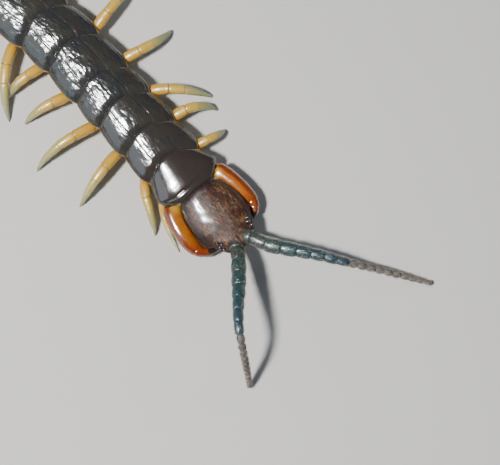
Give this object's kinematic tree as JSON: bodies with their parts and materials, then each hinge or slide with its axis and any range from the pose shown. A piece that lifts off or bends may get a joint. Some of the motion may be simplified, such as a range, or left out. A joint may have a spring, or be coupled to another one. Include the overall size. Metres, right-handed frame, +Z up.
{
  "type": "giant centipede",
  "caption": "Life-size still model of a giant centipede standing on its legs, with a segmented dark back, amber fangs, yellow legs and beaded antennae.",
  "frame": {"origin": "on the floor, under the centre of the box round the whole animal, antennae and last legs included", "axes": "+X towards the head, +Y towards the animal's left, +Z up"},
  "size_m": [0.2238, 0.0522, 0.0145],
  "materials": {
    "head_shell": "glossy dark red-brown shell with fine streaks",
    "fang_shell": "glossy amber-orange shell with dark tips",
    "antenna_shell": "satin blue-green beads fading to brown",
    "back_plates": "polished slate-black shell with fine scratches",
    "leg_shell": "satin translucent yellow shell with greenish ends"
  },
  "bodies": {
    "root": {"head": "head_shell", "fang_plate": "fang_shell", "fang_left": "fang_shell", "fang_right": "fang_shell", "mouthparts": "fang_shell", "antenna_left": "antenna_shell", "antenna_right": "antenna_shell", "trunk_01_to_03": "back_plates", "trunk_04_to_06": "back_plates", "trunk_07_to_09": "back_plates", "trunk_10_to_12": "back_plates", "trunk_13_to_15": "back_plates", "trunk_16_to_18": "back_plates", "trunk_19_to_21": "back_plates", "leg_left_01": "leg_shell", "leg_left_02": "leg_shell", "leg_left_03": "leg_shell", "leg_left_04": "leg_shell", "leg_left_05": "leg_shell", "leg_left_06": "leg_shell", "leg_left_07": "leg_shell", "leg_left_08": "leg_shell", "leg_left_09": "leg_shell", "leg_left_10": "leg_shell", "leg_left_11": "leg_shell", "leg_left_12": "leg_shell", "leg_left_13": "leg_shell", "leg_left_14": "leg_shell", "leg_left_15": "leg_shell", "leg_left_16": "leg_shell", "leg_left_17": "leg_shell", "leg_left_18": "leg_shell", "leg_left_19": "leg_shell", "leg_left_20": "leg_shell", "leg_left_21": "leg_shell", "leg_right_01": "leg_shell", "leg_right_02": "leg_shell", "leg_right_03": "leg_shell", "leg_right_04": "leg_shell", "leg_right_05": "leg_shell", "leg_right_06": "leg_shell", "leg_right_07": "leg_shell", "leg_right_08": "leg_shell", "leg_right_09": "leg_shell", "leg_right_10": "leg_shell", "leg_right_11": "leg_shell", "leg_right_12": "leg_shell", "leg_right_13": "leg_shell", "leg_right_14": "leg_shell", "leg_right_15": "leg_shell", "leg_right_16": "leg_shell", "leg_right_17": "leg_shell", "leg_right_18": "leg_shell", "leg_right_19": "leg_shell", "leg_right_20": "leg_shell", "leg_right_21": "leg_shell"}
  },
  "joints": []
}
